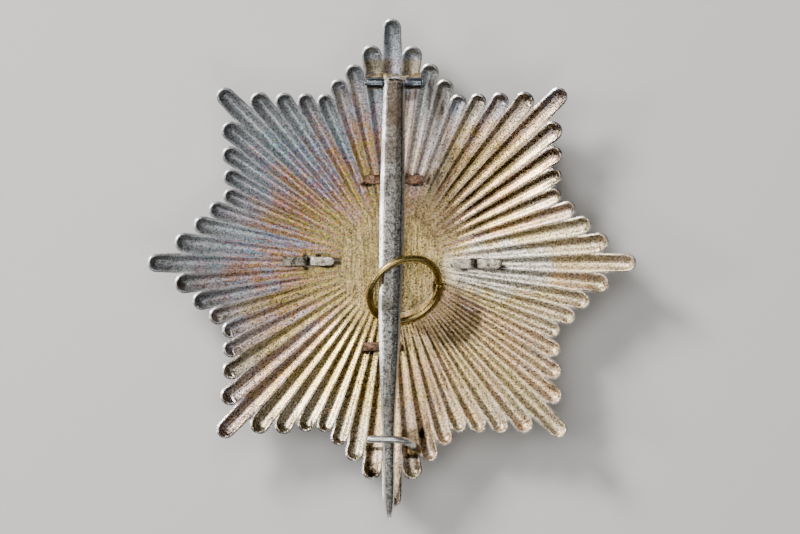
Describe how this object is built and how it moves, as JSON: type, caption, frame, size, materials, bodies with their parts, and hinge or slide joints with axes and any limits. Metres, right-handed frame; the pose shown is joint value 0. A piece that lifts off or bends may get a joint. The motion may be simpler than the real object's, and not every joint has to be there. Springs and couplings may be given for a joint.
{
  "type": "breast star",
  "caption": "Silver breast star of hollow-struck rays with a hinged pin, wire hook and brass ring on its back.",
  "frame": {"origin": "centre of the flat front face that the star lies on", "axes": "+X to three o'clock seen from the back, +Y to twelve o'clock where the hinge is, +Z out of the back"},
  "size_m": [0.085, 0.0873, 0.0135],
  "materials": {
    "struck_silver": "toned silver, worn grey at the tips and golden near the hub",
    "medallion_silver": "plain satin silver",
    "copper_strip": "dull brown copper",
    "silver_strip": "dull silver",
    "hinge_steel": "dark polished metal",
    "blade_metal": "filed and worn grey metal with bright bevels",
    "hook_silver": "bright drawn wire",
    "ring_brass": "aged brass wire"
  },
  "bodies": {
    "star": {"star_body": "struck_silver", "medallion": "medallion_silver", "prong_top": "copper_strip", "prong_left": "silver_strip", "prong_right": "silver_strip", "prong_bottom": "copper_strip", "hinge_tubes": "hinge_steel", "hinge_rod": "hinge_steel", "catch_hook": "hook_silver"},
    "pin": {"pin_blade": "blade_metal", "brass_ring": "ring_brass"}
  },
  "joints": [
    {"name": "pin_hinge", "type": "hinge", "parent": "star", "child": "pin", "pos_m": [0.0004, 0.0313, 0.01091], "axis": [-1, 0, 0], "range_deg": [0, 160]}
  ]
}
